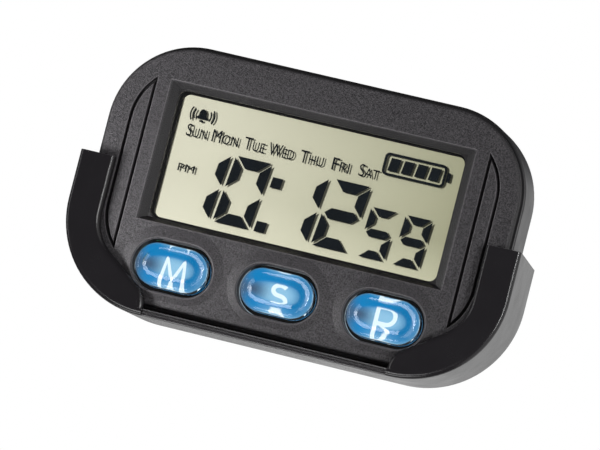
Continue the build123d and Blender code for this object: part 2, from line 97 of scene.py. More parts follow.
# The three keys, from left to right, and the clear pieces
keys = ("mode", "set", "reset")
clear_caps = tuple(f"{key}_button" for key in keys)
clear_layers = ("display_lens", "lcd_front_polarizer", "lcd_front_glass", "lcd_rear_glass")

# Air between the layers of the display
layer_air = 0.02 * mm

# The reflector's ramps of painted light, from the middle of the window: paler to the left and towards the
# lower edge
film_reach = 21.0 * mm
film_pale_below = -9.0 * mm
film_full_above = -3.0 * mm

# Depths under the face between which painted shade darkens the case's colour, in recesses and on the sides,
# and covers the colour of its grain
painted_shade_start = 0.02 * mm
painted_shade_full = 0.3 * mm

# The middle share of a noise's values, which holds nearly all of them
noise_low = 0.3
noise_high = 0.7

# How alike a surface and its rounded form point away from a sharp edge, and at one
alike_flat = 0.975
alike_edge = 0.92

# The longest mitre of a stroke, as the least cosine at its corner
mitre_limit = 0.4

# Clear acrylic, as shader settings
acrylic = {"Transmission_Weight": 1.0, "IOR": 1.49}

# Marks on the display, from the middle of the window: words with their left and right ends, places
# and the bell's outline are in plain millimetres
words = (
    ("Sun", -19.3, -16.3), ("Mon", -15.5, -11.7), ("Tue", -10.8, -7.8), ("Wed", -7.2, -3.5),
    ("Thu", -2.6, 0.8), ("Fri", 2.1, 4.6), ("Sat", 6.0, 8.9),
)
word_foot = 3.13 * mm
word_top = 4.88 * mm
half_day = ("PM", -19.2, -16.8)
half_day_foot = -1.9 * mm
half_day_top = -0.83 * mm
small_capital_share = 0.77
letter_curve_steps = 3
bell_place = (-17.6, 6.3)
bell_outline = (
    (-0.85, -0.45), (0.85, -0.45), (0.85, -0.3), (0.55, 0.0), (0.5, 0.5), (0.3, 0.85),
    (0.0, 0.98), (-0.3, 0.85), (-0.5, 0.5), (-0.55, 0.0), (-0.85, -0.3),
)
clapper_width = 0.6 * mm
clapper_height = 0.3 * mm
clapper_level = -0.75 * mm
ring_level = 0.1 * mm
ring_radii = (1.25 * mm, 1.75 * mm)
ring_spread = 32
ring_stroke = 0.2 * mm
gauge_place = (13.6, 5.7)
gauge_width = 9.0 * mm
gauge_height = 3.2 * mm
gauge_corner = 0.7 * mm
gauge_stroke = 0.35 * mm
gauge_bars = 4
bar_pitch = 1.95 * mm
bar_width = 1.4 * mm
bar_height = 1.85 * mm
bar_lean = 0.12 * mm
nub_width = 0.55 * mm
nub_height = 1.3 * mm
nub_corner = nub_width / 4
nub_gap = 0.12 * mm

# Inserts and letters under the button caps, and black rims of painted shade round them
insert_length = 10.2 * mm
insert_width = 5.9 * mm
insert_gap = 0.05 * mm
insert_thick = 0.2 * mm
flange_thick = 0.8 * mm
rim_length = 11.5 * mm
rim_width = 7.2 * mm
rim_inner_length = 10.46 * mm
rim_inner_width = 6.16 * mm
rim_gap = 0.02 * mm
letter_gap = 0.01 * mm
letter_step = 0.004 * mm
print_and_shade_thick = 0.02 * mm
letter_heights = {"mode": 4.1 * mm, "set": 2.8 * mm, "reset": 4.6 * mm}
letter_drops = {"mode": 0.7 * mm, "set": 0.15 * mm, "reset": 0.6 * mm}
letter_stroke = 0.58 * mm
m_width = 3.4 * mm
m_apex_share = 0.72
m_dip = -1.1 * mm
s_upper = 0.95 * mm
s_lower = 1.05 * mm
s_upper_sweep = (35, 270)
s_lower_sweep = (90, -145)
r_width = 2.5 * mm

# Keypad, as in the CAD part
web_length = 44.7 * mm
web_height = 6.6 * mm
web_thick = 0.8 * mm
web_round = 0.15 * mm
dome_length = 8.0 * mm
dome_width = 5.2 * mm
dome_rise = 2.2 * mm
dome_roof = 0.8 * mm
hollow_length = 5.2 * mm
hollow_width = 2.6 * mm
stem_length = 6.6 * mm
stem_width = 3.4 * mm
stem_round = 0.2 * mm
stem_short = 0.3 * mm

# Foam: share of the depth and growth of the outline there, corners, and the strips' inner ends
foam_profile = (
    (0.0, -0.12 * mm), (0.08, -0.03 * mm), (0.25, 0.0), (0.6, 0.08 * mm), (0.88, 0.0), (1.0, -0.14 * mm),
)
pad_corner = 2.0 * mm
strip_corner = 0.4 * mm
foam_near = 8.0 * mm


def link(piece):
    """Adds an object to the scene."""
    bpy.context.scene.collection.objects.link(piece)
    return piece


def mesh_object(name, shape, *materials):
    """A new object from a bmesh, which is freed."""
    mesh = bpy.data.meshes.new(name)
    shape.to_mesh(mesh)
    shape.free()
    for material in materials:
        mesh.materials.append(material)
    return link(bpy.data.objects.new(name, mesh))


def mesh_piece(name, shape, material, body):
    """A new piece of the part, with its material and the body that it rides on."""
    bmesh.ops.recalc_face_normals(shape, faces=shape.faces)
    piece = mesh_object(name, shape, material)
    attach(piece, body)
    return piece


# Shapes


def stadium(length, width, center, steps=16):
    """Points of a slot outline in x and z, counter-clockwise seen from the front."""
    radius = width / 2
    reach = length / 2 - radius
    points = []
    for side, start in ((1, -90), (-1, 90)):
        for index in range(steps + 1):
            angle = math.radians(start + 180 * index / steps)
            x = center[0] + side * reach + radius * math.cos(angle)
            points.append((x, center[1] + radius * math.sin(angle)))
    return points


def rounded_rectangle(width, height, radius, center, steps=8):
    """Points of a rectangle with round corners, in the same order as a stadium's."""
    points = []
    for side_x, side_z, start in ((1, -1, -90), (1, 1, 0), (-1, 1, 90), (-1, -1, 180)):
        for index in range(steps + 1):
            angle = math.radians(start + 90 * index / steps)
            x = center[0] + side_x * (width / 2 - radius) + radius * math.cos(angle)
            z = center[1] + side_z * (height / 2 - radius) + radius * math.sin(angle)
            points.append((x, z))
    return points


def skin(shape, rings, back_to_first):
    """Skins (outline, depth) rings of equal length in turn, and returns their loops of points."""
    loops = [[shape.verts.new((x, y, z)) for x, z in outline] for outline, y in rings]
    following = loops[1:] + loops[:1] if back_to_first else loops[1:]
    for first, second in zip(loops, following):
        count = len(first)
        for index in range(count):
            after = (index + 1) % count
            shape.faces.new((first[index], first[after], second[after], second[index]))
    return loops


def loft(shape, rings):
    """A body from its first ring to its last, closed at both ends."""
    loops = skin(shape, rings, False)
    shape.faces.new(loops[0])
    shape.faces.new(loops[-1])


def hoop(shape, rings):
    """A closed frame round an opening."""
    skin(shape, rings, True)


def smooth(piece, angle=40):
    """Smooth shading, with edges sharper than the angle kept."""
    for face in piece.data.polygons:
        face.use_smooth = True
    piece.data.set_sharp_from_angle(angle=math.radians(angle))
    return piece


def plate(shape, outline, front, back):
    """A flat plate between two depths."""
    loft(shape, [(outline, front), (outline, back)])


def ribbon(shape, path, width, front, back):
    """A flat stroke of even width along a path of (x, z) points, mitred at its corners."""
    points = [Vector(point) for point in path]
    sides = []
    for index, point in enumerate(points):
        before = (point - points[index - 1]).normalized() if index else None
        after = (points[index + 1] - point).normalized() if index + 1 < len(points) else None
        normals = [Vector((-d.y, d.x)) for d in (before, after) if d is not None]
        normal = sum(normals, Vector((0, 0))).normalized()
        stretch = 1 / max(normal.dot(normals[0]), mitre_limit)
        sides.append(normal * stretch * width / 2)
    left = [point + side for point, side in zip(points, sides)]
    right = [point - side for point, side in zip(points, sides)]
    outline = [(p.x, p.y) for p in left] + [(p.x, p.y) for p in reversed(right)]
    count = len(points)
    verts = {}
    for y in (front, back):
        verts[y] = [shape.verts.new((x, y, z)) for x, z in outline]
        for index in range(count - 1):
            far = 2 * count - 1 - index
            shape.faces.new((verts[y][index], verts[y][index + 1], verts[y][far - 1], verts[y][far]))
    for index in range(2 * count):
        after = (index + 1) % (2 * count)
        shape.faces.new((verts[front][index], verts[front][after], verts[back][after], verts[back][index]))


def arc(center, radius_x, radius_z, start, end, steps=14):
    """Points along a part of an ellipse, between two angles in degrees."""
    points = []
    for index in range(steps + 1):
        angle = math.radians(start + (end - start) * index / steps)
        points.append((center[0] + radius_x * math.cos(angle), center[1] + radius_z * math.sin(angle)))
    return points


# Material helpers


def new_material(name, colour, roughness, **settings):
    """A material with one Principled shader whose constants are set on its own sockets."""
    material = bpy.data.materials.new(name)
    material.use_nodes = True
    tree = material.node_tree
    shader = tree.nodes["Principled BSDF"]
    shader.inputs["Base Color"].default_value = (*colour, 1.0)
    shader.inputs["Roughness"].default_value = roughness
    for socket, value in settings.items():
        shader.inputs[socket.replace("_", " ")].default_value = value
    return material, tree, shader


def noise(tree, size, detail=3.0, stretch=(1.0, 1.0, 1.0)):
    """A noise whose features are about one size across, in the piece's own coordinates."""
    coords = tree.nodes.new("ShaderNodeTexCoord")
    mapping = tree.nodes.new("ShaderNodeMapping")
    mapping.inputs["Scale"].default_value = stretch
    texture = tree.nodes.new("ShaderNodeTexNoise")
    texture.inputs["Scale"].default_value = 1 / size
    texture.inputs["Detail"].default_value = detail
    tree.links.new(coords.outputs["Object"], mapping.inputs["Vector"])
    tree.links.new(mapping.outputs["Vector"], texture.inputs["Vector"])
    return texture.outputs["Fac"]


def cells(tree, size):
    """Round cells of about one size, as distances from their middles."""
    coords = tree.nodes.new("ShaderNodeTexCoord")
    texture = tree.nodes.new("ShaderNodeTexVoronoi")
    texture.inputs["Scale"].default_value = 1 / size
    tree.links.new(coords.outputs["Object"], texture.inputs["Vector"])
    return texture.outputs["Distance"]


def stripes(tree, period, axis):
    """Bands across one axis of the piece, from 0 to 1."""
    coords = tree.nodes.new("ShaderNodeTexCoord")
    texture = tree.nodes.new("ShaderNodeTexWave")
    texture.bands_direction = axis
    texture.inputs["Scale"].default_value = math.pi / 10 / period
    tree.links.new(coords.outputs["Object"], texture.inputs["Vector"])
    return texture.outputs["Fac"]


def along(tree, axis, start, end):
    """A ramp from 0 to 1 between two places on one axis of the piece."""
    coords = tree.nodes.new("ShaderNodeTexCoord")
    split = tree.nodes.new("ShaderNodeSeparateXYZ")
    span = tree.nodes.new("ShaderNodeMapRange")
    span.inputs["From Min"].default_value = start
    span.inputs["From Max"].default_value = end
    tree.links.new(coords.outputs["Object"], split.inputs["Vector"])
    tree.links.new(split.outputs[axis], span.inputs["Value"])
    return span.outputs["Result"]


def spread(tree, factor, low=0.0, high=1.0):
    """A noise spread over a range, from the middle share of its values."""
    span = tree.nodes.new("ShaderNodeMapRange")
    span.inputs["From Min"].default_value = noise_low
    span.inputs["From Max"].default_value = noise_high
    span.inputs["To Min"].default_value = low
    span.inputs["To Max"].default_value = high
    tree.links.new(factor, span.inputs["Value"])
    return span.outputs["Result"]


def vary(tree, socket, factor, low, high):
    """Drives one shader number between two values by a texture."""
    tree.links.new(spread(tree, factor, low, high), socket)


def colour_mix(tree, first, second, blend="MIX"):
    """A mix of two colours, each a plain colour or a socket, with its factor and its result."""
    mix = tree.nodes.new("ShaderNodeMix")
    mix.data_type = "RGBA"
    mix.blend_type = blend
    targets = [socket for socket in mix.inputs if socket.type == "RGBA"]
    for target, colour in zip(targets, (first, second)):
        if isinstance(colour, bpy.types.NodeSocket):
            tree.links.new(colour, target)
        else:
            target.default_value = (*colour, 1.0)
    result = next(socket for socket in mix.outputs if socket.type == "RGBA")
    return mix.inputs["Factor"], result


def tint(tree, factor, first, second, socket=None):
    """A colour between two by a texture, linked to a socket if one is given."""
    share, result = colour_mix(tree, first, second)
    tree.links.new(factor, share)
    if socket:
        tree.links.new(result, socket)
    return result


def bump(tree, shader, height, depth, strength=1.0, edge=0.0):
    """Fine relief, on top of rounded edges if a radius is given."""
    node = tree.nodes.new("ShaderNodeBump")
    if edge:
        bevel = tree.nodes.new("ShaderNodeBevel")
        bevel.inputs["Radius"].default_value = edge
        tree.links.new(bevel.outputs["Normal"], node.inputs["Normal"])
    node.inputs["Strength"].default_value = strength
    node.inputs["Distance"].default_value = depth
    tree.links.new(height, node.inputs["Height"])
    tree.links.new(node.outputs["Normal"], shader.inputs["Normal"])


def sharp_edges(tree, radius):
    """1 at a sharp edge and 0 away from it, by how far rounding the edge would turn the surface."""
    bevel = tree.nodes.new("ShaderNodeBevel")
    bevel.inputs["Radius"].default_value = radius
    geometry = tree.nodes.new("ShaderNodeNewGeometry")
    likeness = tree.nodes.new("ShaderNodeVectorMath")
    likeness.operation = "DOT_PRODUCT"
    span = tree.nodes.new("ShaderNodeMapRange")
    span.inputs["From Min"].default_value = alike_flat
    span.inputs["From Max"].default_value = alike_edge
    tree.links.new(bevel.outputs["Normal"], likeness.inputs[0])
    tree.links.new(geometry.outputs["Normal"], likeness.inputs[1])
    tree.links.new(likeness.outputs["Value"], span.inputs["Value"])
    return span.outputs["Result"]


def patch(tree, place, near, far):
    """0 at a place on the insert, given as shares of its length and width, and 1 away from it."""
    coords = tree.nodes.new("ShaderNodeTexCoord")
    middle = tree.nodes.new("ShaderNodeMapping")
    middle.inputs["Location"].default_value = (-place[0], 0.0, -place[1])
    middle.inputs["Scale"].default_value = (1.0, 0.0, 1.0)
    away = tree.nodes.new("ShaderNodeVectorMath")
    away.operation = "LENGTH"
    fade = tree.nodes.new("ShaderNodeMapRange")
    fade.interpolation_type = "SMOOTHSTEP"
    fade.inputs["From Min"].default_value = near
    fade.inputs["From Max"].default_value = far
    tree.links.new(coords.outputs["Generated"], middle.inputs["Vector"])
    tree.links.new(middle.outputs["Vector"], away.inputs[0])
    tree.links.new(away.outputs["Value"], fade.inputs["Value"])
    return fade.outputs["Result"]


def plastic(name, dark, light, roughness, grain, depth, **settings):
    """A moulded plastic: fine grain in the surface, uneven gloss and a little mottling."""
    material, tree, shader = new_material(name, light, roughness, **settings)
    tint(tree, noise(tree, 9 * mm), dark, light, shader.inputs["Base Color"])
    vary(tree, shader.inputs["Roughness"], noise(tree, 5 * mm, 4.0), 0.85 * roughness, 1.15 * roughness)
    bump(tree, shader, noise(tree, grain, 2.0), depth)
    return material


def metal(name, dark, light, roughness, stretch=(1.0, 1.0, 1.0)):
    """Plated or drawn metal with fine tool marks and uneven gloss."""
    material, tree, shader = new_material(name, light, roughness, Metallic=1.0)
    marks = noise(tree, 0.4 * mm, 4.0, stretch)
    tint(tree, noise(tree, 3 * mm), dark, light, shader.inputs["Base Color"])
    vary(tree, shader.inputs["Roughness"], marks, 0.8 * roughness, 1.3 * roughness)
    bump(tree, shader, marks, 0.01 * mm, 0.4)
    return material


def pane(name, colour, alpha, roughness):
    """A thin clear layer: mostly see-through, with a faint gloss that dust breaks up."""
    material, tree, shader = new_material(name, colour, roughness, Alpha=alpha)
    vary(tree, shader.inputs["Roughness"], noise(tree, 1.5 * mm, 5.0), 0.6 * roughness, 1.6 * roughness)
    return material


# Materials


def cradle_gloss():
    """Gloss black, with painted highlights along sharp edges."""
    material, tree, shader = new_material("cradle_gloss", (0.0077, 0.007, 0.0081), 0.24)
    plain = tint(tree, noise(tree, 12 * mm), (0.0066, 0.006, 0.007), (0.0088, 0.008, 0.0092))
    # Painted highlight: a paler colour along sharp edges
    tint(tree, sharp_edges(tree, 0.07 * mm), plain, (0.10, 0.095, 0.10), shader.inputs["Base Color"])
    vary(tree, shader.inputs["Roughness"], noise(tree, 4 * mm, 5.0), 0.2, 0.28)
    bump(tree, shader, noise(tree, 5 * mm, 1.0), 0.02 * mm, 0.5, edge=0.16 * mm)
    return material


def front_texture():
    """Spark-eroded texture on the face, with painted highlights along sharp edges and painted shade that
    makes recesses and sides darker.
    """
    base = (0.06, 0.057, 0.062)
    material, tree, shader = new_material("front_texture", base, 0.5, Specular_IOR_Level=0.35)
    grain = noise(tree, 0.15 * mm, 2.0)
    # Painted shade: the colour gets darker with depth under the face
    painted_recess_shade = along(tree, "Y", face_front + painted_shade_start, face_front + painted_shade_full)
    textured = tint(tree, spread(tree, grain), (0.014, 0.013, 0.0145), (0.082, 0.077, 0.083))
    # Painted highlight: a paler colour along sharp edges
    painted_edge_highlight = tint(tree, sharp_edges(tree, 0.2 * mm), textured, (0.17, 0.16, 0.17))
    tint(tree, painted_recess_shade, painted_edge_highlight, (0.013, 0.012, 0.0135), shader.inputs["Base Color"])
    vary(tree, shader.inputs["Roughness"], noise(tree, 5 * mm, 4.0), 0.40, 0.52)
    bump(tree, shader, grain, 0.09 * mm, edge=0.15 * mm)
    return material


def rear_satin():
    return plastic("rear_satin", (0.020, 0.019, 0.021), (0.026, 0.025, 0.027), 0.38, 0.15 * mm, 0.008 * mm)


def holder_black():
    dark, light = (0.004, 0.004, 0.004), (0.007, 0.007, 0.007)
    return plastic("holder_black", dark, light, 0.7, 0.2 * mm, 0.01 * mm, Specular_IOR_Level=0.1)


def blob_epoxy():
    return plastic("blob_epoxy", (0.008, 0.008, 0.009), (0.014, 0.014, 0.015), 0.2, 1.5 * mm, 0.03 * mm)


def carbon_rubber():
    return plastic("carbon_rubber", (0.01, 0.01, 0.01), (0.018, 0.018, 0.018), 0.8, 0.1 * mm, 0.02 * mm)


def silicone():
    material, tree, shader = new_material("silicone", (0.72, 0.74, 0.76), 0.5)
    tint(tree, noise(tree, 2 * mm), (0.66, 0.69, 0.72), (0.76, 0.78, 0.80), shader.inputs["Base Color"])
    vary(tree, shader.inputs["Roughness"], noise(tree, 1.2 * mm), 0.42, 0.6)
    bump(tree, shader, noise(tree, 0.3 * mm), 0.01 * mm)
    return material


def screw_steel():
    return metal("screw_steel", (0.50, 0.50, 0.51), (0.66, 0.66, 0.67), 0.28)


def can_metal():
    return metal("can_metal", (0.58, 0.58, 0.58), (0.72, 0.72, 0.71), 0.25, (0.1, 1.0, 1.0))


def cell_steel():
    return metal("cell_steel", (0.60, 0.60, 0.60), (0.74, 0.74, 0.73), 0.22, (1.0, 1.0, 0.2))


def contact_spring():
    return metal("contact_spring", (0.62, 0.60, 0.56), (0.76, 0.74, 0.70), 0.3, (0.2, 1.0, 1.0))


def buzzer_brass():
    return metal("buzzer_brass", (0.70, 0.50, 0.20), (0.82, 0.62, 0.30), 0.28, (0.2, 1.0, 1.0))


def buzzer_white():
    return plastic("buzzer_white", (0.74, 0.73, 0.70), (0.82, 0.81, 0.78), 0.45, 0.3 * mm, 0.01 * mm)


def clear_pane():
    """Clear moulded plastic, a little uneven in its gloss."""
    material, tree, shader = new_material("clear_pane", (0.98, 0.985, 0.98), 0.0, **acrylic)
    vary(tree, shader.inputs["Roughness"], noise(tree, 1.5 * mm, 5.0), 0.0, 0.015)
    return material


def polarizer_film():
    return pane("polarizer_film", (0.06, 0.07, 0.05), 0.02, 0.3)


def lcd_glass():
    return pane("lcd_glass", (0.05, 0.06, 0.055), 0.008, 0.05)


def cell_sealant():
    return plastic("cell_sealant", (0.40, 0.40, 0.36), (0.52, 0.52, 0.47), 0.5, 0.3 * mm, 0.01 * mm)


def lit_segment():
    """Blue-black liquid crystal, a little uneven."""
    base = (0.003, 0.0045, 0.007)
    dark, light = (0.001, 0.0015, 0.003), (0.005, 0.0075, 0.012)
    material, tree, shader = new_material("lit_segment", base, 0.4, Specular_IOR_Level=0.0)
    tint(tree, noise(tree, 2.5 * mm), dark, light, shader.inputs["Base Color"])
    vary(tree, shader.inputs["Roughness"], noise(tree, 0.8 * mm), 0.35, 0.5)
    return material


def reflector_film():
    """Grey-green film with a fine metallic grain, with painted light that makes it paler towards the left
    and the lower edge.
    """
    base = (0.66, 0.68, 0.52)
    material, tree, shader = new_material("reflector_film", base, 0.55, Specular_IOR_Level=0.0)
    # Painted light: paler to the left and towards the lower edge, darker to the right
    across = along(tree, "X", window_x - film_reach, window_x + film_reach)
    upper = tint(tree, across, (0.82, 0.80, 0.635), (0.42, 0.415, 0.275))
    lower = tint(tree, across, (0.92, 0.90, 0.72), (0.64, 0.63, 0.445))
    rise = along(tree, "Z", window_z + film_pale_below, window_z + film_full_above)
    plain = tint(tree, rise, lower, upper)
    grain = tint(tree, noise(tree, 0.12 * mm, 2.0), (0.86, 0.86, 0.86), (1.0, 1.0, 1.0))
    share, grained = colour_mix(tree, plain, grain, "MULTIPLY")
    share.default_value = 1.0
    tree.links.new(grained, shader.inputs["Base Color"])
    vary(tree, shader.inputs["Roughness"], noise(tree, 0.2 * mm), 0.45, 0.7)
    return material


def zebra_rubber():
    """Rubber in dark conducting stripes and pale insulating ones."""
    dark, light = (0.015, 0.015, 0.016), (0.55, 0.50, 0.48)
    material, tree, shader = new_material("zebra_rubber", (0.3, 0.3, 0.3), 0.6)
    tint(tree, stripes(tree, 0.18 * mm, "X"), dark, light, shader.inputs["Base Color"])
    vary(tree, shader.inputs["Roughness"], noise(tree, 0.5 * mm), 0.5, 0.75)
    return material


def foam(name, dark, light):
    """Foam with fine open pores."""
    material, tree, shader = new_material(name, light, 0.9)
    pores = cells(tree, 0.28 * mm)
    tint(tree, pores, dark, light, shader.inputs["Base Color"])
    vary(tree, shader.inputs["Roughness"], noise(tree, 1.0 * mm), 0.82, 0.97)
    bump(tree, shader, pores, 0.06 * mm, 0.8)
    return material


def pad_foam():
    return foam("pad_foam", (0.62, 0.62, 0.58), (0.80, 0.80, 0.76))


def foam_grey():
    return foam("foam_grey", (0.10, 0.10, 0.11), (0.20, 0.20, 0.21))


def board_green():
    """Solder mask over tracks: faint raised lines under a glossy green."""
    material, tree, shader = new_material("board_green", (0.02, 0.16, 0.06), 0.3)
    tracks = stripes(tree, 0.9 * mm, "X")
    tint(tree, tracks, (0.012, 0.11, 0.04), (0.03, 0.22, 0.09), shader.inputs["Base Color"])
    vary(tree, shader.inputs["Roughness"], noise(tree, 2 * mm), 0.25, 0.4)
    bump(tree, shader, tracks, 0.03 * mm, 0.5)
    return material


def chip_ceramic():
    material, tree, shader = new_material("chip_ceramic", (0.45, 0.30, 0.17), 0.4)
    tint(tree, noise(tree, 0.6 * mm), (0.38, 0.25, 0.14), (0.50, 0.35, 0.20), shader.inputs["Base Color"])
    vary(tree, shader.inputs["Roughness"], noise(tree, 0.4 * mm), 0.3, 0.5)
    return material


def button_clear():
    """Clear blue-tinted plastic with very slight flow waves from moulding."""
    material, tree, shader = new_material("button_blue", (0.72, 0.88, 0.97), 0.02, **acrylic)
    vary(tree, shader.inputs["Roughness"], noise(tree, 2 * mm, 4.0), 0.04, 0.08)
    bump(tree, shader, noise(tree, 2.5 * mm, 1.0), 0.006 * mm, 0.4, edge=0.4 * mm)
    return material


def insert_blue():
    """Blue with painted light that pales it towards the middle of the insert, and painted shade that makes
    it dull and dark towards its left end.
    """
    material, tree, shader = new_material("insert_blue", (0.0, 0.16, 0.42), 0.5)
    # Painted light round the middle, and painted shade at the left end
    pale = tint(tree, patch(tree, (0.48, 0.5), 0.1, 0.42), (0.32, 0.52, 0.66), (0.0, 0.195, 0.425))
    tint(tree, patch(tree, (0.12, 0.5), 0.0, 0.32), (0.06, 0.09, 0.14), pale, shader.inputs["Base Color"])
    vary(tree, shader.inputs["Roughness"], noise(tree, 1.5 * mm), 0.4, 0.6)
    return material


def letter_white():
    material, tree, shader = new_material("letter_white", (0.92, 0.91, 0.92), 0.5)
    tint(tree, noise(tree, 0.6 * mm), (0.88, 0.87, 0.88), (0.95, 0.94, 0.95), shader.inputs["Base Color"])
    vary(tree, shader.inputs["Roughness"], noise(tree, 0.5 * mm), 0.4, 0.6)
    return material


# The CAD nodes that each material is for
finishes = {
    cradle_gloss: ("cradle",),
    front_texture: ("front_case",),
    rear_satin: ("rear_case", "battery_cap"),
    screw_steel: ("case_screws", "pcb_screws"),
    clear_pane: ("display_lens",),
    polarizer_film: ("lcd_front_polarizer",),
    lcd_glass: ("lcd_front_glass", "lcd_rear_glass"),
    cell_sealant: ("lcd_cell_seal",),
    lit_segment: ("lcd_segments",),
    reflector_film: ("lcd_reflector",),
    holder_black: ("lcd_holder",),
    zebra_rubber: ("zebra_strip",),
    board_green: ("main_pcb",),
    blob_epoxy: ("controller_blob",),
    can_metal: ("quartz_crystal",),
    chip_ceramic: ("chip_capacitors",),
    carbon_rubber: ("contact_pills",),
    button_clear: clear_caps,
    cell_steel: ("battery_cell",),
    contact_spring: ("battery_contact_negative", "battery_contact_positive", "buzzer_contact"),
    buzzer_brass: ("buzzer_plate",),
    buzzer_white: ("buzzer_ceramic",),
}


def let_light_through(piece):
    """Keeps a clear piece from shading what is behind it."""
    piece.visible_shadow = False
    piece.visible_diffuse = False


def air_round(piece):
    """Keeps a hair of air between a layer of the display and what it lies on."""
    shrink = piece.modifiers.new("air", "DISPLACE")
    shrink.strength = -layer_air
    shrink.mid_level = 0.0


def dress_nodes():
    """Gives every CAD node its finish and returns the materials by name."""
    made = {}
    for finish, names in finishes.items():
        material = finish()
        made[finish.__name__] = material
        for name in names:
            mesh = nodes[name].data
            mesh.materials.clear()
            mesh.materials.append(material)
    for name in clear_layers + clear_caps:
        let_light_through(nodes[name])
    for name in clear_layers:
        air_round(nodes[name])
    return made


# Pieces


def lettering(shape, text, left, right, foot, top, front, back):
    """One word in small capitals, fitted to a box on the display."""
    curve = bpy.data.curves.new(text, "FONT")
    curve.body = text
    curve.small_caps_scale = small_capital_share
    for character in curve.body_format:
        character.use_small_caps = True
    curve.resolution_u = letter_curve_steps
    # Any thickness serves, because the word is fitted to its box below
    curve.extrude = 0.5
    holder = link(bpy.data.objects.new(text, curve))
    graph = bpy.context.evaluated_depsgraph_get()
    mesh = bpy.data.meshes.new_from_object(holder.evaluated_get(graph))
    bpy.data.objects.remove(holder)
    corners = [vertex.co for vertex in mesh.vertices]
    low = Vector([min(c[i] for c in corners) for i in range(3)])
    high = Vector([max(c[i] for c in corners) for i in range(3)])
    size = high - low
    for vertex in mesh.vertices:
        share = [(vertex.co[i] - low[i]) / size[i] for i in range(3)]
        x = left + share[0] * (right - left)
        y = back + share[2] * (front - back)
        vertex.co = (x, y, foot + share[1] * (top - foot))
    shape.from_mesh(mesh)
    bpy.data.meshes.remove(mesh)


def display_words(material):
    """The weekdays and the half-day mark."""
    marks = [(*word, word_foot, word_top) for word in words]
    marks.append((*half_day, half_day_foot, half_day_top))
    shape = bmesh.new()
    for text, left, right, foot, top in marks:
        x0, x1 = window_x + left * mm, window_x + right * mm
        lettering(shape, text, x0, x1, window_z + foot, window_z + top, cell_front, cell_back)
    return mesh_piece("display_words", shape, material, "clock_module")


def bell(shape):
    """A ringing bell."""
    x, z = window_x + bell_place[0] * mm, window_z + bell_place[1] * mm
    plate(shape, [(x + px * mm, z + pz * mm) for px, pz in bell_outline], cell_front, cell_back)
    plate(shape, stadium(clapper_width, clapper_height, (x, z + clapper_level)), cell_front, cell_back)
    for side in (-1, 1):
        for radius in ring_radii:
            middle = 90 - side * 90
            path = arc((x, z + ring_level), radius, radius, middle - ring_spread, middle + ring_spread)
            ribbon(shape, path, ring_stroke, cell_front, cell_back)


def bar_corners():
    """One leaning bar of the gauge, from its middle."""
    half, tall = bar_width / 2, bar_height / 2
    foot = [(-half - bar_lean, -tall), (half - bar_lean, -tall)]
    head = [(half + bar_lean, tall), (-half + bar_lean, tall)]
    return foot + head


def gauge(shape):
    """A full battery gauge."""
    x, z = window_x + gauge_place[0] * mm, window_z + gauge_place[1] * mm
    outer = rounded_rectangle(gauge_width, gauge_height, gauge_corner, (x, z))
    inner_size = (gauge_width - 2 * gauge_stroke, gauge_height - 2 * gauge_stroke)
    inner = rounded_rectangle(*inner_size, gauge_corner - gauge_stroke, (x, z))
    hoop(shape, [(outer, cell_front), (outer, cell_back), (inner, cell_back), (inner, cell_front)])
    nub_middle = x + (gauge_width + nub_width) / 2 + nub_gap
    nub = rounded_rectangle(nub_width, nub_height, nub_corner, (nub_middle, z))
    plate(shape, nub, cell_front, cell_back)
    for index in range(gauge_bars):
        middle = x + (index - (gauge_bars - 1) / 2) * bar_pitch
        bar = [(middle + px, z + pz) for px, pz in bar_corners()]
        plate(shape, bar, cell_front, cell_back)


def display_signs(material):
    shape = bmesh.new()
    bell(shape)
    gauge(shape)
    return mesh_piece("display_signs", shape, material, "clock_module")


def letter_m(half):
    wide = m_width / 2
    apex = m_apex_share * wide
    return [[(-wide, -half), (-apex, half), (0, m_dip), (apex, half), (wide, -half)]]


def letter_s(half):
    bowl = half / 2
    upper = arc((0, bowl), s_upper, bowl, *s_upper_sweep)
    lower = arc((0, -bowl), s_lower, bowl, *s_lower_sweep)
    return [upper + lower[1:]]


def letter_r(half):
    bowl = half / 2
    left = -r_width / 2
    turn = left + r_width - bowl
    stem = [(left, -half), (left, half + letter_stroke / 2)]
    bow = [(left, half), (turn, half)] + arc((turn, bowl), bowl, bowl, 90, -90)[1:] + [(left, 0)]
    leg = [(turn - bowl / 2, 0), (r_width / 2, -half)]
    return [stem, bow, leg]


# Strokes of each key's letter, as paths from the letter's middle, for half its height
letters = {"mode": letter_m, "set": letter_s, "reset": letter_r}


def cap_middle(key):
    """The middle of a key's cap in x and z."""
    low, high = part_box(f"{key}_button")
    return (low.x + high.x) / 2, (low.z + high.z) / 2


def cap_insert(key, center):
    """The coloured insert behind a cap."""
    shape = bmesh.new()
    front = cap_under + insert_gap
    plate(shape, stadium(insert_length, insert_width, center), front, front + insert_thick)
    mesh_piece(f"{key}_insert", shape, insert_blue(), f"{key}_key")


def flange_shade_ring(key, center, black):
    """A black ring on the front of a cap's flange: painted shade in the gap round the cap."""
    shape = bmesh.new()
    # Painted shade: a black ring that darkens the gap round the cap
    outer = stadium(rim_length, rim_width, center)
    inner = stadium(rim_inner_length, rim_inner_width, center)
    back = cap_under - flange_thick - rim_gap
    front = back - print_and_shade_thick
    hoop(shape, [(outer, front), (outer, back), (inner, back), (inner, front)])
    mesh_piece(f"{key}_flange_shade_ring", shape, black, f"{key}_key")


def cap_letter(key, center, white):
    """The letter between a cap and its insert."""
    shape = bmesh.new()
    for index, stroke in enumerate(letters[key](letter_heights[key] / 2)):
        front = cap_under + letter_gap + index * letter_step
        path = [(center[0] + px, center[1] - letter_drops[key] + pz) for px, pz in stroke]
        ribbon(shape, path, letter_stroke, front, front + print_and_shade_thick)
    mesh_piece(f"{key}_letter", shape, white, f"{key}_key")


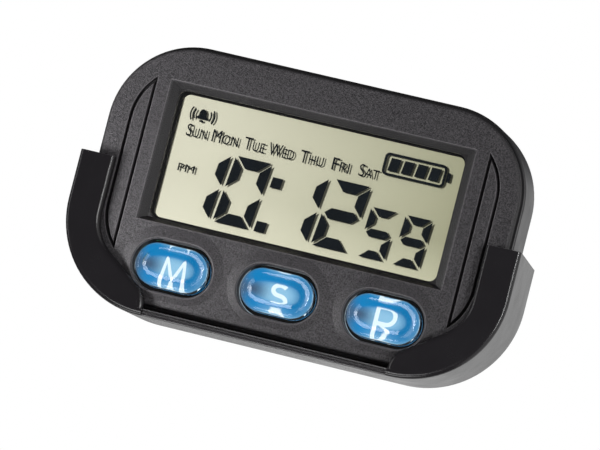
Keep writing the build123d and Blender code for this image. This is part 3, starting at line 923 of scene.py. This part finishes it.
def button_prints_and_shade(white, black):
    for key in keys:
        center = cap_middle(key)
        cap_insert(key, center)
        flange_shade_ring(key, center, black)
        cap_letter(key, center, white)


def keypad_web(material, level):
    """The silicone strip that lies on the board."""
    front = board_front - web_thick
    outer = stadium(web_length, web_height, (0, level))
    inset = stadium(web_length - 2 * web_round, web_height - 2 * web_round, (0, level))
    shape = bmesh.new()
    loft(shape, [(inset, front), (outer, front + web_round), (outer, board_front)])
    return smooth(mesh_piece("keypad_web", shape, material, "clock_module"))


def keypad_dome(key, material, level):
    """A hollow dome with a stem behind one key."""
    center = (cap_middle(key)[0], level)
    hollow = stadium(hollow_length, hollow_width, center)
    base = stadium(dome_length, dome_width, center)
    stem = stadium(stem_length, stem_width, center)
    tip = stadium(stem_length - 2 * stem_round, stem_width - 2 * stem_round, center)
    web_front = board_front - web_thick
    dome_front = board_front - dome_rise
    stem_front = cap_under + stem_short
    shape = bmesh.new()
    loft(shape, [
        (hollow, dome_front + dome_roof), (hollow, web_front), (base, web_front), (stem, dome_front),
        (stem, stem_front + stem_round), (tip, stem_front),
    ])
    piece = smooth(mesh_piece(f"keypad_{key}_dome", shape, material, "clock_module"))
    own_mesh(piece)
    return piece


def keypad(material):
    level = cap_middle("set")[1]
    pieces = [keypad_web(material, level)]
    for key in keys:
        pieces.append(keypad_dome(key, material, level))
    for piece in pieces:
        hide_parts("rubber_keypad")


def foam_block(name, node, left, right, material, body, corner):
    """A foam pad in the place of a CAD solid: soft edges, and sides that bulge where nothing holds them."""
    low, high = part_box(node)
    center = ((left + right) / 2, (low.z + high.z) / 2)
    width, height = right - left, high.z - low.z
    depth = high.y - low.y
    shape = bmesh.new()
    rings = []
    for share, growth in foam_profile:
        outline = rounded_rectangle(width + 2 * growth, height + 2 * growth, corner + growth, center)
        rings.append((outline, low.y + share * depth))
    loft(shape, rings)
    piece = smooth(mesh_piece(name, shape, material, body))
    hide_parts(node)


def foam_pieces():
    low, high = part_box("adhesive_pad")
    foam_block("foam_pad", "adhesive_pad", low.x, high.x, pad_foam(), "cradle_base", pad_corner)
    low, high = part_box("lcd_foam_strips")
    grey = foam_grey()
    spans = {"left": (low.x, -foam_near), "right": (foam_near, high.x)}
    for side, (left, right) in spans.items():
        name = f"foam_strip_{side}"
        foam_block(name, "lcd_foam_strips", left, right, grey, "clock_module", strip_corner)


# Camera, lamps and surroundings


def stand(item, place, aim, roll):
    """Puts a camera or lamp at a place, aimed at a point and turned about its own axis by some degrees."""
    look = Vector(aim) - Vector(place)
    turn = look.to_track_quat("-Z", "Y").to_matrix() @ Matrix.Rotation(math.radians(roll), 3, "Z")
    item.matrix_world = Matrix.Translation(place) @ turn.to_4x4()


def make_camera():
    data = bpy.data.cameras.new("camera")
    data.lens = camera_lens
    data.sensor_width = camera_sensor
    camera = link(bpy.data.objects.new("camera", data))
    stand(camera, camera_place, camera_aim, camera_roll)
    bpy.context.scene.camera = camera


def make_world():
    """White where the camera, gloss or clear plastic looks, and a plain soft light elsewhere."""
    world = bpy.data.worlds.new("studio")
    bpy.context.scene.world = world
    world.use_nodes = True
    tree = world.node_tree
    background = tree.nodes["Background"]
    background.inputs["Color"].default_value = (1.0, 1.0, 1.0, 1.0)
    path = tree.nodes.new("ShaderNodeLightPath")
    glossy = tree.nodes.new("ShaderNodeMath")
    glossy.operation = "MAXIMUM"
    seen = tree.nodes.new("ShaderNodeMath")
    seen.operation = "MAXIMUM"
    level = tree.nodes.new("ShaderNodeMapRange")
    level.inputs["To Min"].default_value = world_level
    level.inputs["To Max"].default_value = background_level
    tree.links.new(path.outputs["Is Glossy Ray"], glossy.inputs[0])
    tree.links.new(path.outputs["Is Transmission Ray"], glossy.inputs[1])
    tree.links.new(path.outputs["Is Camera Ray"], seen.inputs[0])
    tree.links.new(glossy.outputs["Value"], seen.inputs[1])
    tree.links.new(seen.outputs["Value"], level.inputs["Value"])
    tree.links.new(level.outputs["Result"], background.inputs["Strength"])


def make_lamp(name, place, aim, width, height, power, roll=0.0):
    """A soft box of some width and height in metres, and a power in watts."""
    data = bpy.data.lights.new(name, "AREA")
    data.shape = "RECTANGLE"
    data.size = width
    data.size_y = height
    data.energy = power
    lamp = link(bpy.data.objects.new(name, data))
    stand(lamp, place, aim, roll)
    return lamp


def chosen(lamp, names, state):
    """A collection of pieces that a lamp takes in or leaves out, by the state."""
    collection = bpy.data.collections.new(lamp.name)
    for name in names:
        collection.objects.link(nodes[name])
    for entry in collection.collection_objects:
        entry.light_linking.link_state = state
    return collection


def light_only(lamp, names):
    """The lamp lights these pieces alone."""
    lamp.light_linking.receiver_collection = chosen(lamp, names, "INCLUDE")


def keep_off(lamp, names):
    """The lamp lights all but these pieces."""
    lamp.light_linking.receiver_collection = chosen(lamp, names, "EXCLUDE")


def pass_through(lamp, names):
    """These pieces throw no shadow in the lamp's light."""
    lamp.light_linking.blocker_collection = chosen(lamp, names, "EXCLUDE")


def glow(name, level):
    """A grey that shines by itself."""
    material = bpy.data.materials.new(name)
    material.use_nodes = True
    tree = material.node_tree
    tree.nodes.remove(tree.nodes["Principled BSDF"])
    light = tree.nodes.new("ShaderNodeEmission")
    light.inputs["Color"].default_value = (level, level, level, 1.0)
    tree.links.new(light.outputs["Emission"], tree.nodes["Material Output"].inputs["Surface"])
    return material


def make_tent():
    """A dark tent, pale to the right and behind, that only gloss and clear plastic see."""
    shape = bmesh.new()
    bmesh.ops.create_icosphere(shape, subdivisions=tent_detail, radius=tent_radius)
    open_side = Vector(tent_open_side)
    for face in shape.faces:
        way = face.calc_center_median().normalized()
        behind = way.dot(open_side) > tent_open_from and way.y > tent_back
        if behind or (way.x > tent_right and way.y > -tent_right):
            face.material_index = 1
    tent = mesh_object("tent", shape, glow("tent", tent_level), glow("tent_open", tent_open_level))
    tent.visible_camera = False
    tent.visible_diffuse = False
    tent.visible_shadow = False


def make_floor():
    """A pale floor that shows its upper side only and fades out into the white around it."""
    material, tree, shader = new_material("floor", floor_light, floor_roughness)
    tint(tree, noise(tree, 40 * mm), floor_dark, floor_light, shader.inputs["Base Color"])
    clear = tree.nodes.new("ShaderNodeBsdfTransparent")
    geometry = tree.nodes.new("ShaderNodeNewGeometry")
    distance = tree.nodes.new("ShaderNodeVectorMath")
    distance.operation = "LENGTH"
    fade = tree.nodes.new("ShaderNodeMapRange")
    fade.interpolation_type = "SMOOTHSTEP"
    fade.inputs["From Min"].default_value = floor_fade[0]
    fade.inputs["From Max"].default_value = floor_fade[1]
    away = tree.nodes.new("ShaderNodeMath")
    away.operation = "MAXIMUM"
    mix = tree.nodes.new("ShaderNodeMixShader")
    tree.links.new(geometry.outputs["Position"], distance.inputs[0])
    tree.links.new(distance.outputs["Value"], fade.inputs["Value"])
    tree.links.new(fade.outputs["Result"], away.inputs[0])
    tree.links.new(geometry.outputs["Backfacing"], away.inputs[1])
    tree.links.new(away.outputs["Value"], mix.inputs["Fac"])
    tree.links.new(shader.outputs["BSDF"], mix.inputs[1])
    tree.links.new(clear.outputs["BSDF"], mix.inputs[2])
    tree.links.new(mix.outputs["Shader"], tree.nodes["Material Output"].inputs["Surface"])
    shape = bmesh.new()
    bmesh.ops.create_circle(shape, cap_ends=True, segments=floor_sides, radius=floor_radius)
    floor = mesh_object("floor", shape, material)
    floor.visible_diffuse = False
    floor.visible_glossy = False
    floor.visible_transmission = False
    floor.visible_shadow = False


def make_lamps():
    """Soft lamps, some for a few pieces alone and some for all but a few."""
    key = make_lamp("key", (-0.22, -0.97, 0.06), body_middle, width=0.07, height=0.07, power=9.4)
    key.visible_glossy = False
    key.visible_transmission = False
    keep_off(key, ("front_case", "rear_case"))
    pass_through(key, ("front_case", "lcd_holder"))
    for name, place, width, height, power in (
        ("left_strip", (-0.60, -0.23, 0.05), 0.10, 0.40, 0.5),
        ("under_strip", (-0.10, -0.15, -0.55), 0.45, 0.14, 1.0),
        ("right_strip", (0.55, -0.45, 0.05), 0.05, 0.40, 2.0),
    ):
        keep_off(make_lamp(name, place, body_middle, width, height, power), ("lcd_reflector",))
    place = (0.72, -0.82, -0.20)
    case_light = make_lamp("case_light", place, face_middle, width=0.2, height=0.2, power=1.7)
    light_only(case_light, ("front_case",))
    place = (-0.062, -0.045, -0.005)
    face_light = make_lamp("face_light", place, face_middle, width=0.02, height=0.02, power=0.055)
    face_light.visible_camera = False
    light_only(face_light, ("front_case",))
    place = (-0.15, -0.60, -0.36)
    low_card = make_lamp("low_card", place, cradle_foot, width=0.35, height=0.12, power=1.4)
    light_only(low_card, ("cradle",))
    for name, place, width, height, power, roll in (
        ("cap_box", (0.272, -0.558, 0.521), 1.26, 0.755, 19.0, -45.0),
        ("cap_side", (0.427, -0.683, -0.085), 0.53, 0.72, 3.2, 0.0),
    ):
        lamp = make_lamp(name, place, cap_row, width, height, power, roll)
        lamp.visible_transmission = False
        light_only(lamp, clear_caps)
    back_light = make_lamp("back_light", (0.3, 0.8, 0.5), body_middle, width=0.5, height=0.5, power=6.0)
    back_light.visible_glossy = False


materials = dress_nodes()
display_words(materials["lit_segment"])
display_signs(materials["lit_segment"])
button_prints_and_shade(letter_white(), materials["holder_black"])
keypad(silicone())
foam_pieces()
make_camera()
make_world()
make_floor()
make_tent()
make_lamps()

bpy.context.scene.view_settings.view_transform = "Standard"
